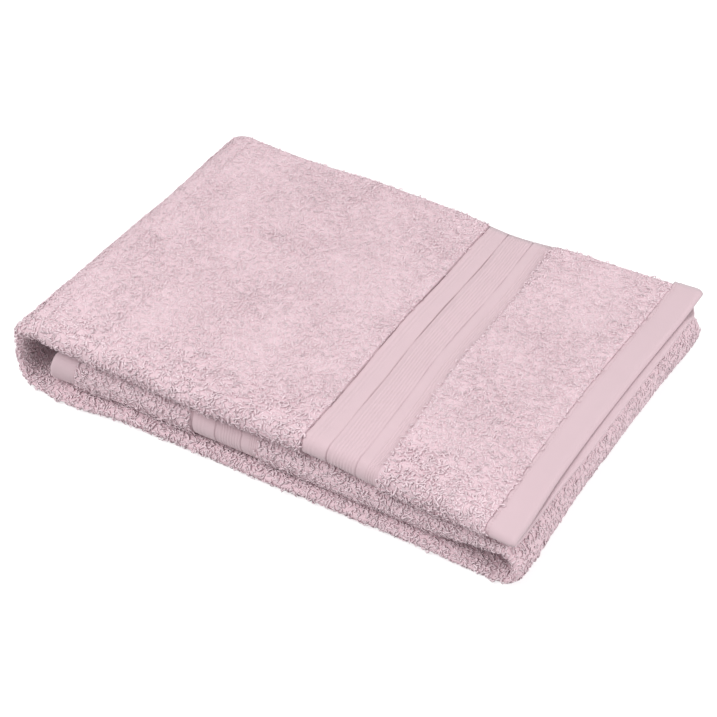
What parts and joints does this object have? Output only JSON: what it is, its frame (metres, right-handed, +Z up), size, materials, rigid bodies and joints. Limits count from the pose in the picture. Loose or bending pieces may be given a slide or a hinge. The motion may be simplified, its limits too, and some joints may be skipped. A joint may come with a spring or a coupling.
{
  "type": "folded bath towel",
  "caption": "Terry bath towel folded in half and then in thirds, with woven borders, stitched end hems, and a top leaf that opens.",
  "frame": {"origin": "centre of the underside, on the surface the towel lies on", "axes": "+X from the left fold to the right fold, +Y from the long half-fold at the front to the side hems at the rear, +Z up through the stack"},
  "size_m": [0.48, 0.33, 0.068],
  "materials": {
    "terry_pile": "matte",
    "border_weave": "matte",
    "hem_cloth": "matte",
    "sewing_thread": "satin"
  },
  "bodies": {
    "folded_stack": {"bottom_terry": "terry_pile", "bottom_side_hem_lower": "hem_cloth", "bottom_side_hem_upper": "hem_cloth", "right_fold_terry": "terry_pile", "right_fold_side_hem_outer": "hem_cloth", "right_fold_side_hem_inner": "hem_cloth", "middle_terry": "terry_pile", "middle_woven_border": "border_weave", "middle_end_terry": "terry_pile", "middle_end_hem": "hem_cloth", "middle_hem_seam": "sewing_thread", "middle_side_hem_lower": "hem_cloth", "middle_side_hem_upper": "hem_cloth", "left_fold_terry": "terry_pile", "left_fold_side_hem_outer": "hem_cloth", "left_fold_side_hem_inner": "hem_cloth"},
    "top_leaf": {"top_terry": "terry_pile", "top_woven_border": "border_weave", "top_end_terry": "terry_pile", "top_end_hem": "hem_cloth", "top_hem_seam": "sewing_thread", "top_side_hem_lower": "hem_cloth", "top_side_hem_upper": "hem_cloth"}
  },
  "joints": [
    {"name": "top_leaf_opens", "type": "hinge", "parent": "folded_stack", "child": "top_leaf", "pos_m": [-0.24, 0, 0.034], "axis": [0, -1, 0], "range_deg": [0, 180], "deforming": ["left_fold_terry", "left_fold_side_hem_outer", "left_fold_side_hem_inner"]}
  ]
}
